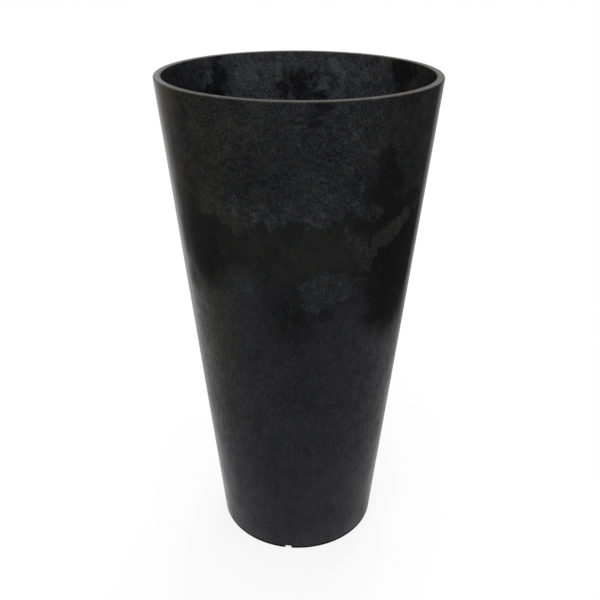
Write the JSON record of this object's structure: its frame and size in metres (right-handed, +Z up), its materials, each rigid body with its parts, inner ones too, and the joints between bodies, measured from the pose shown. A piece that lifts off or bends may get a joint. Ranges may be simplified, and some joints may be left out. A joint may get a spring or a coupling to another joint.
{
  "type": "floor planter",
  "caption": "Tall round planter in black marbled composite, straight taper, flat rim and notched foot, with a lift-out perforated watering insert and a drain plug.",
  "frame": {"origin": "middle of the foot ring's underside, on the ground", "axes": "+Z up along the pot's axis; -Y is the front, the side that the picture shows"},
  "size_m": [0.3695, 0.3696, 0.7],
  "materials": {
    "pot_composite": "satin, black with grey slate-like marbling",
    "insert_plastic": "fine moulded grain",
    "plug_rubber": "matt"
  },
  "bodies": {
    "pot": {"pot_shell": "pot_composite"},
    "insert": {"drainage_disc": "insert_plastic", "wick_cup": "insert_plastic", "disc_leg_1": "insert_plastic", "disc_leg_2": "insert_plastic", "disc_leg_3": "insert_plastic", "disc_leg_4": "insert_plastic"},
    "plug": {"drain_plug": "plug_rubber"}
  },
  "joints": [
    {"name": "insert_lift", "type": "slide", "parent": "pot", "child": "insert", "axis": [0, 0, 1], "range_m": [0, 0.7]},
    {"name": "plug_pull", "type": "slide", "parent": "pot", "child": "plug", "axis": [0, 0, -1], "range_m": [0, 0.04]}
  ]
}
